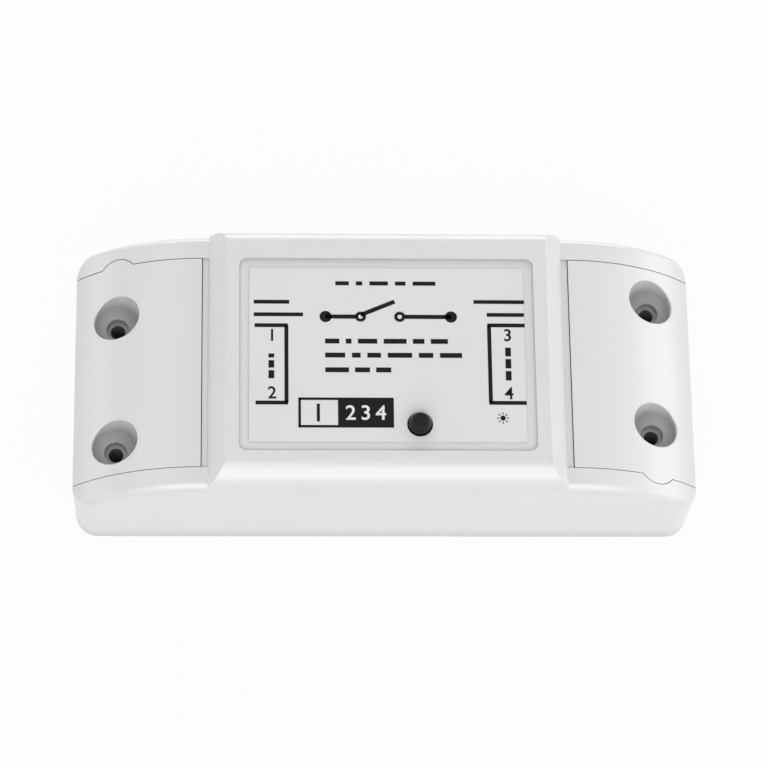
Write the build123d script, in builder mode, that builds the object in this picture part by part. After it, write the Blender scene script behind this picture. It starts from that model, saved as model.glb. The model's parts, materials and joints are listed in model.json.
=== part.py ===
from build123d import *
import os
from math import sqrt

# In-line mains relay module for a home, in millimetres. Z is up and the module stands on z = 0.
# X runs along the mains cable, from the input end (-X) to the output end (+X).

# Housing
body_length = 88.0
body_width = 38.0
body_height = 23.0
corner_radius = 3.3
shell_wall = 1.8
block_rise = 2.5
end_length = 21.4
block_slope_run = 2.3
block_front_radius = 4.5
block_back_radius = 1.6
rail_width = 3.3
rail_thickness = 1.6
rail_front_radius = 1.5
rail_back_radius = 0.9
slope_lead = 0.6
end_height = 14.37
ledge_width = 0.95
ledge_drop = 0.25
ledge_blend_radius = 0.8
partition_wall = 1.5
slope_wall = 1.3

# Gaps of the mouldings
seam_gap = 0.1
seat_gap = 0.1
overrun = 1.0

# Recess and label on the block
recess_end_margin = 1.9
recess_side_margin = 4.6
recess_radius = 1.1
recess_depth = 0.4
recess_shift = 0.3
label_margin = 1.4
label_thickness = 0.15

# End covers: one moulding, turned half round for the output end
cover_thickness = 1.8
skirt_wall = 1.6
screw_side_margin = 6.35
screw_inset = 6.0
screw_shift = 1.4
driver_hole_radius = 3.2
driver_hole_depth = 4.7
driver_tube_wall = 1.1
screw_web = 1.0
screw_hole_radius = 1.6
tab_radius = 2.63
tab_reach = 1.15
mouth_round = 0.25

# Cable entries
cable_radius = 3.6
cable_cover_wall = 1.7
clamp_rib_width = 1.4
clamp_rib_clearance = 0.2

# Base tray
base_floor = 1.8
tray_gap = 0.1
boss_wall = 1.75
pilot_radius = 1.05
pilot_floor = 0.5
post_radius = 1.6
post_pin_radius = 0.8
post_pin_reach = 0.8
clip_length = 7.0
clip_thickness = 1.0
clip_height = 6.0
clip_barb = 0.4
clip_barb_height = 1.2
clip_gap = 0.15

# Circuit board
board_stand = 2.4
board_thickness = 1.6
board_side_gap = 2.0
board_end_gap = 0.5
board_overhang = 1.4
board_edge = 0.6
part_gap = 0.8
pin_radius = 0.35
pin_clearance = 0.1
pin_tail = 0.9

# Button and its switch
button_x = 4.4
button_inset = 3.95
button_radius = 1.6
button_clearance = 0.2
button_proud = 1.4
button_top_radius = 1.15
button_taper_height = 1.1
button_top_round = 0.25
switch_size = 6.0
switch_height = 3.4
switch_wall = 0.6
switch_floor = 0.8
switch_plate_thickness = 0.3
switch_stem_gap = 0.1
switch_flange_radius = 2.2
switch_flange_height = 0.9
switch_flange_gap = 0.05
switch_foot_radius = 1.0
switch_travel = 0.25
switch_preload_gap = 0.1
dome_radius = 2.1
dome_top_radius = 1.1
dome_height = 0.35
switch_leg_gap = 0.05
switch_leg_width = 0.7
switch_leg_thickness = 0.3
switch_leg_pitch = 4.5
switch_leg_height = 1.2

# Terminal blocks
terminal_gap = 0.45
terminal_pitch = 7.62
terminal_side = 4.1
terminal_height = 10.4
terminal_floor = 0.8
terminal_chamfer = 0.5
well_back_wall = 0.45
well_front_wall = 0.8
well_width = 5.8
well_top = 8.5
shoulder_height = 0.6
wire_mouth_width = 3.8
wire_mouth_height = 3.4
cage_gap = 0.2
cage_back_gap = 0.4
cage_front_gap = 0.25
cage_height = 5.8
cage_wall = 0.8
strip_thickness = 0.6
strip_width = 3.0
strip_height = 4.1
strip_reach = 4.0
strip_gap = 0.1
strip_pin_width = 1.2
screw_head_radius = 1.9
screw_head_height = 1.05
screw_head_clearance = 0.2
screw_slot_width = 0.6
screw_slot_depth = 0.5
screw_seat_gap = 0.05
thread_radius = 1.25
thread_clearance = 0.06
neck_clearance = 0.15
thread_tip_gap = 0.5

# Relay
relay_length = 19.2
relay_width = 15.4
relay_headroom = 0.4
relay_slope_gap = 0.2
relay_wall = 0.6
relay_base_height = 2.2
relay_fit = 0.1
relay_coil_pitch = 12.0
relay_pin_inset = 2.0
yoke_thickness = 1.2
yoke_width = 9.0
yoke_gap = 0.5
core_radius = 1.6
core_fit = 0.1
bobbin_flange = 0.8
bobbin_wall = 0.5
bobbin_radius = 4.6
bobbin_gap = 0.4
bobbin_drop = 0.2
coil_margin = 0.3
coil_fit = 0.05
armature_gap = 0.45
armature_thickness = 1.2
armature_lift = 0.1
armature_overlap = 1.4
leaf_thickness = 0.25
leaf_width = 4.0
leaf_overlap = 5.0
contact_radius = 1.1
contact_pad = 0.4
contact_gap = 0.85
contact_rest_gap = 0.1
contact_headroom = 0.2
contact_blade = 0.6
contact_blade_width = 2.4
contact_spread = 2.2
contact_inset = 2.8
contact_side_gap = 0.4

# Power supply
transformer_length = 13.0
transformer_width = 12.0
transformer_height = 10.5
transformer_foot = 1.6
transformer_depth = 5.0
transformer_limb = 3.0
transformer_yoke = 1.5
transformer_fit = 0.1
transformer_tube_wall = 0.7
transformer_flange = 0.6
transformer_pin_pitch = 4.0
winding_margin = 0.3
winding_round = 1.2
mains_capacitor_radius = 4.0
mains_capacitor_height = 12.0
mains_pin_pitch = 3.5
supply_capacitor_radius = 3.15
supply_capacitor_height = 9.0
supply_pin_pitch = 2.5
capacitor_groove = 0.3
capacitor_shoulder = 1.2
capacitor_round = 0.4
film_length = 13.0
film_width = 6.0
film_height = 11.0
film_round = 0.8
film_pin_pitch = 10.0
fuse_radius = 1.75
fuse_length = 9.0
fuse_lead_reach = 0.6
fuse_end = 1.6
fuse_end_step = 0.15
varistor_radius = 4.0
varistor_thickness = 3.5
varistor_round = 0.8
varistor_pin_pitch = 5.0
lead_lift = 0.3
bridge_length = 4.8
bridge_width = 4.0
bridge_height = 2.4
bridge_leg_width = 0.9
inductor_size = 4.4
inductor_height = 3.6
inductor_waist = 0.7
inductor_rim = 0.9
regulator_length = 5.0
regulator_width = 3.9
regulator_height = 1.6
regulator_leg_width = 0.42
chip_chamfer = 0.25
chip_leg_reach = 0.6
chip_leg_thickness = 0.25

# Logic
module_length = 14.0
module_width = 10.4
module_thickness = 0.8
shield_length = 10.0
shield_side_margin = 1.0
shield_height = 2.2
shield_wall = 0.3
shield_inset = 0.8
transistor_length = 2.9
transistor_width = 1.4
transistor_height = 1.1
transistor_leg_width = 0.45
diode_length = 4.2
diode_width = 2.6
diode_height = 2.0
diode_leg_width = 1.5
lamp_length = 2.0
lamp_width = 1.3
lamp_height = 0.8

# Worked out from the sizes above
half_length = body_length / 2
half_width = body_width / 2
rail_height = body_height - block_rise
block_flat_length = body_length - 2 * end_length
block_crease = block_flat_length / 2
block_foot = block_crease + block_slope_run
ledge_edge = block_foot + ledge_width
slope_start = block_foot + slope_lead
slope_run = half_length - slope_start
slope_drop = body_height - end_height
slope_radius = (slope_run**2 + slope_drop**2) / (2 * slope_drop)
slope_rate = block_rise / block_slope_run
pocket_half_width = half_width - rail_width
cover_half_width = pocket_half_width - seam_gap
cover_edge = ledge_edge + seam_gap
room_half_length = ledge_edge - partition_wall
room_half_width = half_width - shell_wall
room_top = body_height - shell_wall
slope_cover = slope_wall * sqrt(1 + slope_rate**2)
inner_slope_start = block_crease - (room_top - body_height + slope_cover) / slope_rate
board_bottom = base_floor + board_stand
board_top = board_bottom + board_thickness
pin_end = board_bottom - pin_tail
hole_distance = half_length - screw_inset
screw_pitch = 2 * (pocket_half_width - screw_side_margin)
cover_mouths = (-screw_shift - screw_pitch / 2, -screw_shift + screw_pitch / 2)
clip_places = [(x, side) for x in (-hole_distance / 2, hole_distance / 2) for side in (-1, 1)]
clip_face = room_half_width - clip_gap
recess_length = block_flat_length - 2 * recess_end_margin
recess_width = body_width - 2 * recess_side_margin
button_y = recess_shift - recess_width / 2 + button_inset
board_half_width = room_half_width - board_side_gap
shield_width = module_width - 2 * shield_side_margin

STAND = (Align.CENTER, Align.CENTER, Align.MIN)


def slope_height(x, depth=0.0):
    """Height of the curved-down top at a distance x from mid-length, a depth under its surface."""
    radius = slope_radius - depth
    reach = max(abs(x) - slope_start, 0)
    return rail_height - slope_radius + sqrt(radius**2 - reach**2)


def inner_slope_height(x):
    """Height of the room under the block's end slopes, at a distance x from mid-length."""
    return body_height - slope_cover - (x - block_crease) * slope_rate


end_height = slope_height(half_length)
cable_height = end_height - cable_cover_wall - cable_radius
driver_floor = slope_height(hole_distance) - driver_hole_depth
web_bottom = driver_floor - screw_web
boss_top = web_bottom - seat_gap
boss_radius = pilot_radius + boss_wall
driver_tube_radius = driver_hole_radius + driver_tube_wall
clamp_low = cable_height - cable_radius / sqrt(2) - clamp_rib_clearance
clamp_high = cable_height + cable_radius / sqrt(2) + clamp_rib_clearance


def brick(low, high, mode=Mode.ADD):
    """A box between two opposite corners, in the part being built."""
    size = [b - a for a, b in zip(low, high)]
    with Locations(tuple((a + b) / 2 for a, b in zip(low, high))):
        Box(*size, mode=mode)


def rod(x, y, low, high, radius, mode=Mode.ADD):
    """An upright cylinder at x, y between two heights, in the part being built."""
    with Locations((x, y, low)):
        Cylinder(radius, high - low, align=STAND, mode=mode)


def rod_along_x(y, z, low, high, radius, mode=Mode.ADD):
    """A cylinder along X at y, z, in the part being built."""
    with Locations(Location(((low + high) / 2, y, z), (0, 90, 0))):
        Cylinder(radius, high - low, mode=mode)


def rod_along_y(x, z, low, high, radius):
    """A cylinder along Y at x, z, in the part being built."""
    with Locations(Location((x, (low + high) / 2, z), (90, 0, 0))):
        Cylinder(radius, high - low)


def finish(built, label):
    """Label a finished piece and write its file."""
    built.part.label = label
    export_step(built.part, f"parts/{label}.step")


def slope_arc(side, first, last, depth=0.0):
    """The curve of the sloping top between two distances from mid-length, on one side."""
    middle = (first + last) / 2
    return ThreePointArc(
        (side * first, slope_height(first, depth)),
        (side * middle, slope_height(middle, depth)),
        (side * last, slope_height(last, depth)),
    )


os.makedirs("parts", exist_ok=True)

# Raised block: its cross-section runs along X and its end slopes are cut through it
with BuildPart() as block:
    with BuildSketch(Plane.YZ) as section:
        with Locations((0, body_height / 2)):
            Rectangle(body_width, body_height)
        fillet(section.vertices().group_by(Axis.Y)[-1].sort_by(Axis.X)[0], block_front_radius)
        fillet(section.vertices().group_by(Axis.Y)[-1].sort_by(Axis.X)[-1], block_back_radius)
    extrude(amount=block_foot, both=True)
    with BuildSketch(Plane.XZ) as side_view:
        with BuildLine():
            Polyline(
                (-block_foot, 0),
                (-block_foot, rail_height),
                (-block_crease, body_height),
                (block_crease, body_height),
                (block_foot, rail_height),
                (block_foot, 0),
                close=True,
            )
        make_face()
    extrude(amount=half_width, both=True, mode=Mode.INTERSECT)

# Ledges beside the end covers, a little lower than the rails, blended into the block's slopes
with BuildPart() as ledges:
    ledge_height = rail_height - ledge_drop
    ledge_foot = block_foot + ledge_drop / slope_rate
    for side in (-1, 1):
        with BuildSketch(Plane.XZ) as ledge_view:
            with BuildLine():
                Polyline(
                    (side * room_half_length, 0),
                    (side * ledge_edge, 0),
                    (side * ledge_edge, ledge_height),
                    (side * ledge_foot, ledge_height),
                    (side * block_crease, body_height),
                    (side * room_half_length, inner_slope_height(room_half_length)),
                    close=True,
                )
            make_face()
            foot = ledge_view.vertices().sort_by_distance((side * ledge_foot, 0, ledge_height))[0]
            fillet(foot, ledge_blend_radius)
        extrude(amount=pocket_half_width, both=True)

with BuildPart() as top_shell:
    with BuildSketch(Plane.XZ) as rail_view:
        with BuildLine():
            Line((-half_length, 0), (-half_length, end_height))
            slope_arc(-1, half_length, slope_start)
            Line((-slope_start, rail_height), (slope_start, rail_height))
            slope_arc(1, slope_start, half_length)
            Line((half_length, end_height), (half_length, 0))
            Line((half_length, 0), (-half_length, 0))
        make_face()
    extrude(amount=half_width, both=True)
    high_edges = top_shell.edges().filter_by(lambda e: e.center().Z > end_height)
    fillet(high_edges.group_by(Axis.Y)[0], rail_front_radius)
    high_edges = top_shell.edges().filter_by(lambda e: e.center().Z > end_height)
    fillet(high_edges.group_by(Axis.Y)[-1], rail_back_radius)
    with BuildSketch():
        RectangleRounded(body_length, body_width, corner_radius)
    extrude(amount=body_height, mode=Mode.INTERSECT)
    brick(
        (-block_foot, -half_width - overrun, -overrun),
        (block_foot, half_width + overrun, body_height),
        Mode.SUBTRACT,
    )
    add(block.part)
    # Pockets that hold the end covers, open at the ends
    for side in (-1, 1):
        pocket = sorted((side * block_foot, side * (half_length + overrun)))
        brick(
            (pocket[0], -pocket_half_width, -overrun),
            (pocket[1], pocket_half_width, body_height),
            Mode.SUBTRACT,
        )
    add(ledges.part)
    # Room under the rails
    with BuildSketch(Plane.XZ) as room_view:
        with BuildLine():
            inner_end = half_length - shell_wall
            Line((-inner_end, -overrun), (-inner_end, slope_height(inner_end, rail_thickness)))
            slope_arc(-1, inner_end, ledge_edge, rail_thickness)
            Line((-ledge_edge, slope_height(ledge_edge, rail_thickness)), (-ledge_edge, -overrun))
            Line((-ledge_edge, -overrun), (-inner_end, -overrun))
        make_face()
        mirror(about=Plane.YZ)
    extrude(amount=room_half_width, both=True, mode=Mode.SUBTRACT)
    # Room under the block, for the electronics
    with BuildSketch(Plane.YZ) as room_section:
        with Locations((0, (room_top - overrun) / 2)):
            Rectangle(2 * room_half_width, room_top + overrun)
        front_corner = room_section.vertices().group_by(Axis.Y)[-1].sort_by(Axis.X)[0]
        fillet(front_corner, block_front_radius - shell_wall)
    room_bar = extrude(amount=room_half_length, both=True, mode=Mode.PRIVATE)
    with BuildSketch(Plane.XZ) as room_ends:
        with BuildLine():
            Polyline(
                (0, -overrun),
                (room_half_length, -overrun),
                (room_half_length, inner_slope_height(room_half_length)),
                (inner_slope_start, room_top),
                (0, room_top),
                close=True,
            )
        make_face()
        mirror(about=Plane.YZ)
    room_plan = extrude(amount=room_half_width, both=True, mode=Mode.PRIVATE)
    add(room_bar & room_plan, mode=Mode.SUBTRACT)
    # The partitions stop above the board
    brick(
        (-ledge_edge, -room_half_width, -overrun),
        (ledge_edge, room_half_width, board_top + board_edge),
        Mode.SUBTRACT,
    )
    # Recess for the label and hole for the button
    with BuildSketch(Plane.XY.offset(body_height - recess_depth)):
        with Locations((0, recess_shift)):
            RectangleRounded(recess_length, recess_width, recess_radius)
    extrude(amount=recess_depth + overrun, mode=Mode.SUBTRACT)
    rod(
        button_x, button_y, room_top - overrun, body_height + overrun,
        button_radius + button_clearance, Mode.SUBTRACT,
    )
    # Half-round notches for the covers' finger tabs
    for side in (-1, 1):
        tab_y = -side * (cover_half_width + tab_reach - tab_radius)
        rod(
            side * hole_distance, tab_y, 0, body_height,
            tab_radius + seam_gap, Mode.SUBTRACT,
        )
    # Pockets inside the walls for the tray's clips
    for x, side in clip_places:
        low, high = sorted(
            (side * (room_half_width - overrun), side * (clip_face + clip_barb + clip_gap))
        )
        brick(
            (x - clip_length / 2 - clip_gap, low, clip_height - clip_barb_height - clip_gap),
            (x + clip_length / 2 + clip_gap, high, clip_height + clip_gap),
            Mode.SUBTRACT,
        )
finish(top_shell, "top_shell")

# End cover at the input end
with BuildPart() as end_cover:
    with BuildSketch(Plane.XZ) as plate_view:
        with BuildLine():
            outer = slope_arc(-1, cover_edge, half_length)
            inner = slope_arc(-1, cover_edge, half_length, cover_thickness)
            Line(outer @ 0, inner @ 0)
            Line(outer @ 1, inner @ 1)
        make_face()
    extrude(amount=half_width, both=True)
    # Tubes round the driver holes
    for y in cover_mouths:
        rod(-hole_distance, y, web_bottom, rail_height, driver_tube_radius)
    # Skirt over the cable entry
    skirt_low = cable_height + seam_gap / 2
    brick(
        (-half_length, -cover_half_width, skirt_low),
        (-half_length + skirt_wall, cover_half_width, end_height),
    )
    # Rib that presses on the cable's sheath
    rib_reach = boss_radius + clamp_rib_clearance
    brick(
        (-hole_distance - clamp_rib_width / 2, cover_mouths[0] + rib_reach, clamp_high),
        (-hole_distance + clamp_rib_width / 2, cover_mouths[1] - rib_reach, slope_height(hole_distance)),
    )
    # Trim to the pocket in plan, with the finger tab, and to the sloping top
    with BuildSketch() as plan:
        with Locations(((-half_length - cover_edge) / 2, 0)):
            Rectangle(half_length - cover_edge, 2 * cover_half_width)
        with Locations((-hole_distance, cover_half_width + tab_reach - tab_radius)):
            Circle(tab_radius)
    extrude(amount=rail_height, mode=Mode.INTERSECT)
    with BuildSketch(Plane.XZ) as under_slope:
        with BuildLine():
            top_line = slope_arc(-1, cover_edge, half_length)
            Polyline(top_line @ 1, (-half_length, 0), (-cover_edge, 0), top_line @ 0)
        make_face()
    extrude(amount=half_width, both=True, mode=Mode.INTERSECT)
    for y in cover_mouths:
        rod(-hole_distance, y, driver_floor, rail_height + overrun, driver_hole_radius, Mode.SUBTRACT)
        rod(-hole_distance, y, web_bottom - overrun, driver_floor + overrun, screw_hole_radius, Mode.SUBTRACT)
    rod_along_x(
        -screw_shift, cable_height, -half_length - overrun,
        -half_length + skirt_wall + overrun, cable_radius, Mode.SUBTRACT,
    )
    curved_edges = end_cover.edges().filter_by(GeomType.LINE, reverse=True)
    mouths = [(-hole_distance, y, slope_height(hole_distance)) for y in cover_mouths]
    rims = [curved_edges.sort_by_distance(mouth)[0] for mouth in mouths]
    fillet(rims, mouth_round)
finish(end_cover, "end_cover_left")

with BuildPart() as end_cover_turned:
    add(end_cover.part.rotate(Axis.Z, 180))
finish(end_cover_turned, "end_cover_right")

# Face label in the recess
with BuildPart() as face_label:
    with BuildSketch(Plane.XY.offset(body_height - recess_depth)):
        with Locations((0, recess_shift)):
            Rectangle(recess_length - 2 * label_margin, recess_width - 2 * label_margin)
        with Locations((button_x, button_y)):
            Circle(button_radius + button_clearance, mode=Mode.SUBTRACT)
    extrude(amount=label_thickness)
finish(face_label, "face_label")

# Base tray: floor, end walls, screw bosses, board posts and snap clips
tray_half_length = half_length - shell_wall - tray_gap
tray_half_width = room_half_width - tray_gap
terminal_back = ledge_edge + terminal_gap
board_half_length = hole_distance - boss_radius - board_end_gap
terminal_front = board_half_length - board_overhang
terminal_half_width = terminal_pitch / 2 + terminal_side
post_x = (terminal_back + terminal_front) / 2
post_y = (terminal_half_width + board_half_width) / 2
post_places = [(x, y) for x in (-post_x, post_x) for y in (-post_y, post_y)]
with BuildPart() as base_tray:
    with BuildSketch():
        RectangleRounded(2 * tray_half_length, 2 * tray_half_width, corner_radius - shell_wall)
        Rectangle(body_length, 2 * cover_half_width)
    extrude(amount=base_floor)
    for end in (-1, 1):
        wall = sorted((end * half_length, end * (half_length - skirt_wall)))
        brick(
            (wall[0], -cover_half_width, 0),
            (wall[1], cover_half_width, cable_height - seam_gap / 2),
        )
        # Two low ribs under the cable
        rib = end * hole_distance
        brick(
            (rib - clamp_rib_width / 2, end * screw_shift - cable_radius, 0),
            (rib + clamp_rib_width / 2, end * screw_shift + cable_radius, clamp_low),
        )
        for y in cover_mouths:
            rod(end * hole_distance, -end * y, 0, boss_top, boss_radius)
    for x, y in post_places:
        rod(x, y, 0, board_bottom, post_radius)
        rod(x, y, board_bottom, board_top + post_pin_reach, post_pin_radius)
    # Upright clips, each with a barb that snaps into the shell's wall
    for x, side in clip_places:
        inner, outer = clip_face - clip_thickness, clip_face
        low, high = sorted((side * inner, side * outer))
        brick((x - clip_length / 2, low, 0), (x + clip_length / 2, high, clip_height))
        low, high = sorted((side * inner, side * (outer + clip_barb)))
        brick(
            (x - clip_length / 2, low, clip_height - clip_barb_height),
            (x + clip_length / 2, high, clip_height),
        )
    for end in (-1, 1):
        for y in cover_mouths:
            rod(end * hole_distance, -end * y, pilot_floor, boss_top + overrun, pilot_radius, Mode.SUBTRACT)
        cut = sorted((end * (half_length + overrun), end * (half_length - skirt_wall - overrun)))
        rod_along_x(end * screw_shift, cable_height, *cut, cable_radius, Mode.SUBTRACT)
finish(base_tray, "base_tray")


def board_pins(places):
    """Round solder pins through the board, in the part being built."""
    for x, y in places:
        rod(x, y, pin_end, board_top + pin_clearance, pin_radius)


def pair(x, y, pitch, along_x=True):
    """Two pin places about a point."""
    reach = pitch / 2
    return [(x - reach, y), (x + reach, y)] if along_x else [(x, y - reach), (x, y + reach)]


# Places on the board, each piece beside its neighbour
front_edge = -board_half_width + board_edge
back_edge = board_half_width - board_edge
relay_right = block_crease - relay_slope_gap
relay_x = relay_right - relay_length / 2
relay_y = back_edge - relay_width / 2
relay_left = relay_right - relay_length
relay_top = room_top - relay_headroom
supply_capacitor_x = relay_left - part_gap - supply_capacitor_radius
supply_capacitor_y = back_edge - supply_capacitor_radius
transformer_right = supply_capacitor_x - supply_capacitor_radius - part_gap
transformer_x = transformer_right - transformer_length / 2
transformer_y = back_edge - transformer_width / 2
fuse_x = transformer_right - transformer_length - part_gap - fuse_radius
fuse_y = back_edge - fuse_lead_reach - pin_radius - fuse_length / 2
mains_capacitor_x = -room_half_length + part_gap + mains_capacitor_radius
mains_capacitor_y = front_edge + mains_capacitor_radius
varistor_x = -room_half_length + part_gap + varistor_thickness / 2
varistor_y = fuse_y - fuse_length / 2 - fuse_lead_reach - pin_radius - part_gap - varistor_radius
bridge_x = mains_capacitor_x + part_gap + bridge_length / 2
bridge_y = varistor_y
module_x = mains_capacitor_x + mains_capacitor_radius + part_gap + module_length / 2
module_y = front_edge + module_width / 2
inductor_x = bridge_x + bridge_length / 2 + part_gap + inductor_size / 2
inductor_y = transformer_y - transformer_width / 2 - part_gap - inductor_size / 2
regulator_x = supply_capacitor_x
regulator_y = supply_capacitor_y - supply_capacitor_radius - part_gap - regulator_width / 2
film_x = button_x + switch_size / 2 + 2 * part_gap + film_length / 2
film_y = front_edge + film_width / 2
driver_row = (relay_y - relay_width / 2 + film_y + film_width / 2) / 2
lamp_x = button_x
transistor_x = film_x - film_length / 2 + transistor_length / 2
diode_x = transistor_x + transistor_length / 2 + part_gap + diode_length / 2

coil_x = relay_left + relay_wall + yoke_gap + yoke_thickness + bobbin_gap + bobbin_radius
contact_x = relay_right - relay_wall - contact_inset
blade_x = contact_x + contact_radius + contact_side_gap
relay_pin_places = [
    *pair(relay_left + relay_pin_inset, relay_y, relay_coil_pitch, along_x=False),
    *pair(blade_x + contact_blade / 2, relay_y, 2 * contact_spread, along_x=False),
    (coil_x, relay_y),
]
supply_pins = pair(supply_capacitor_x, supply_capacitor_y, supply_pin_pitch)
mains_pins = pair(mains_capacitor_x, mains_capacitor_y, mains_pin_pitch)
film_pins = pair(film_x, film_y, film_pin_pitch)
varistor_pins = pair(varistor_x, varistor_y, varistor_pin_pitch, along_x=False)
fuse_pins = pair(fuse_x, fuse_y, fuse_length + 2 * fuse_lead_reach, along_x=False)
transformer_pins = [
    (transformer_x + column * transformer_pin_pitch, transformer_y + row * transformer_pin_pitch)
    for column in (-1, 0, 1)
    for row in (-1, 1)
]
leg_x = switch_size / 2 + switch_leg_gap + switch_leg_thickness / 2
leg_places = [
    (button_x + side * leg_x, y)
    for side in (-1, 1)
    for _, y in pair(button_x, button_y, switch_leg_pitch, along_x=False)
]
strip_x = terminal_back + well_back_wall + strip_gap + strip_thickness / 2
strip_places = [(end * strip_x, y) for end in (-1, 1) for y in (-terminal_pitch / 2, terminal_pitch / 2)]

with BuildPart() as circuit_board:
    brick(
        (-board_half_length, -board_half_width, board_bottom),
        (board_half_length, board_half_width, board_top),
    )
    hole_radius = pin_radius + pin_clearance
    all_pins = [
        *relay_pin_places, *supply_pins, *mains_pins, *film_pins,
        *varistor_pins, *fuse_pins, *transformer_pins,
    ]
    for x, y in all_pins:
        rod(x, y, board_bottom - overrun, board_top + overrun, hole_radius, Mode.SUBTRACT)
    for x, y in post_places:
        rod(
            x, y, board_bottom - overrun, board_top + overrun,
            post_pin_radius + pin_clearance, Mode.SUBTRACT,
        )
    slots = [(place, switch_leg_thickness, switch_leg_width) for place in leg_places]
    slots += [(place, strip_thickness, strip_pin_width) for place in strip_places]
    for (x, y), thickness, width in slots:
        reach_x = thickness / 2 + pin_clearance
        reach_y = width / 2 + pin_clearance
        brick(
            (x - reach_x, y - reach_y, board_bottom - overrun),
            (x + reach_x, y + reach_y, board_top + overrun),
            Mode.SUBTRACT,
        )
finish(circuit_board, "circuit_board")

# Button, standing on its snap-action switch
switch_top = board_top + switch_height
with BuildPart() as button_switch_housing:
    brick(
        (button_x - switch_size / 2, button_y - switch_size / 2, board_top),
        (button_x + switch_size / 2, button_y + switch_size / 2, switch_top),
    )
    well_radius = switch_size / 2 - switch_wall
    rod(button_x, button_y, board_top + switch_floor, switch_top + overrun, well_radius, Mode.SUBTRACT)
finish(button_switch_housing, "button_switch_housing")

with BuildPart() as button_switch_plate:
    brick(
        (button_x - switch_size / 2, button_y - switch_size / 2, switch_top),
        (button_x + switch_size / 2, button_y + switch_size / 2, switch_top + switch_plate_thickness),
    )
    rod(
        button_x, button_y, switch_top - overrun, switch_top + overrun,
        button_radius + switch_stem_gap, Mode.SUBTRACT,
    )
finish(button_switch_plate, "button_switch_plate")

dome_base = board_top + switch_floor
with BuildPart() as button_switch_dome:
    with Locations((button_x, button_y, dome_base)):
        Cone(dome_radius, dome_top_radius, dome_height, align=STAND)
finish(button_switch_dome, "button_switch_dome")

with BuildPart() as button_switch_legs:
    for x, y in leg_places:
        brick(
            (x - switch_leg_thickness / 2, y - switch_leg_width / 2, pin_end),
            (x + switch_leg_thickness / 2, y + switch_leg_width / 2, board_top + switch_leg_height),
        )
finish(button_switch_legs, "button_switch_legs")

button_top = body_height + button_proud
flange_top = switch_top - switch_flange_gap
foot_low = dome_base + dome_height + switch_travel + switch_preload_gap
with BuildPart() as button_stem:
    rod(button_x, button_y, foot_low, flange_top, switch_foot_radius)
    rod(button_x, button_y, flange_top - switch_flange_height, flange_top, switch_flange_radius)
    rod(button_x, button_y, flange_top, button_top - button_taper_height, button_radius)
    with Locations((button_x, button_y, button_top - button_taper_height)):
        Cone(button_radius, button_top_radius, button_taper_height, align=STAND)
    top_edge = button_stem.faces().sort_by(Axis.Z)[-1].edges()
    fillet(top_edge, button_top_round)
finish(button_stem, "button_stem")

# Terminal blocks with rising clamps, one for each end of the board
housing_top = board_top + terminal_height
well_low = board_top + terminal_floor
well_high = board_top + well_top
shoulder_top = well_high + shoulder_height
cage_low = well_low + cage_gap
cage_high = cage_low + cage_height
tongue_low = board_top + strip_height
tongue_high = tongue_low + strip_thickness
leg_front = strip_x + strip_thickness / 2
cage_back = leg_front + cage_back_gap
cage_front = terminal_front - well_front_wall - cage_front_gap
cage_x = (cage_back + cage_front) / 2
cage_half_width = well_width / 2 - cage_gap
mouth_height = (cage_low + cage_wall + tongue_low) / 2


def terminal_housing():
    """Housing of a terminal block at the output end."""
    with BuildPart() as housing:
        brick(
            (terminal_back, -terminal_half_width, board_top),
            (terminal_front, terminal_half_width, housing_top),
        )
        for y in (-terminal_pitch / 2, terminal_pitch / 2):
            brick(
                (terminal_back + well_back_wall, y - well_width / 2, well_low),
                (terminal_front - well_front_wall, y + well_width / 2, well_high),
                Mode.SUBTRACT,
            )
            brick(
                (terminal_front - well_front_wall - overrun, y - wire_mouth_width / 2,
                 mouth_height - wire_mouth_height / 2),
                (terminal_front + overrun, y + wire_mouth_width / 2, mouth_height + wire_mouth_height / 2),
                Mode.SUBTRACT,
            )
            rod(cage_x, y, well_high - overrun, housing_top, thread_radius + neck_clearance, Mode.SUBTRACT)
            rod(
                cage_x, y, shoulder_top, housing_top + overrun,
                screw_head_radius + screw_head_clearance, Mode.SUBTRACT,
            )
            brick(
                (strip_x - strip_thickness / 2 - pin_clearance, y - strip_pin_width / 2 - pin_clearance,
                 board_top - overrun),
                (strip_x + strip_thickness / 2 + pin_clearance, y + strip_pin_width / 2 + pin_clearance,
                 well_low + overrun),
                Mode.SUBTRACT,
            )
        upper_edges = housing.edges().filter_by(Axis.Y).group_by(Axis.Z)[-1]
        chamfer([upper_edges.sort_by(Axis.X)[0], upper_edges.sort_by(Axis.X)[-1]], terminal_chamfer)
    return housing.part


def contact_strips():
    """The two contact strips of a terminal block at the output end."""
    with BuildPart() as strips:
        for y in (-terminal_pitch / 2, terminal_pitch / 2):
            brick(
                (strip_x - strip_thickness / 2, y - strip_width / 2, well_low),
                (leg_front, y + strip_width / 2, tongue_high),
            )
            brick(
                (leg_front, y - strip_width / 2, tongue_low),
                (leg_front + strip_reach, y + strip_width / 2, tongue_high),
            )
            brick(
                (strip_x - strip_thickness / 2, y - strip_pin_width / 2, pin_end),
                (leg_front, y + strip_pin_width / 2, well_low),
            )
    return strips.part


def clamp_cage(y):
    """A clamp cage of the output end: a ring open along X, with a threaded hole in its top."""
    with BuildPart() as cage:
        brick((cage_back, y - cage_half_width, cage_low), (cage_front, y + cage_half_width, cage_high))
        brick(
            (cage_back - overrun, y - cage_half_width + cage_wall, cage_low + cage_wall),
            (cage_front + overrun, y + cage_half_width - cage_wall, cage_high - cage_wall),
            Mode.SUBTRACT,
        )
        rod(
            cage_x, y, cage_high - cage_wall - overrun, cage_high + overrun,
            thread_radius + thread_clearance, Mode.SUBTRACT,
        )
    return cage.part


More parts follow.
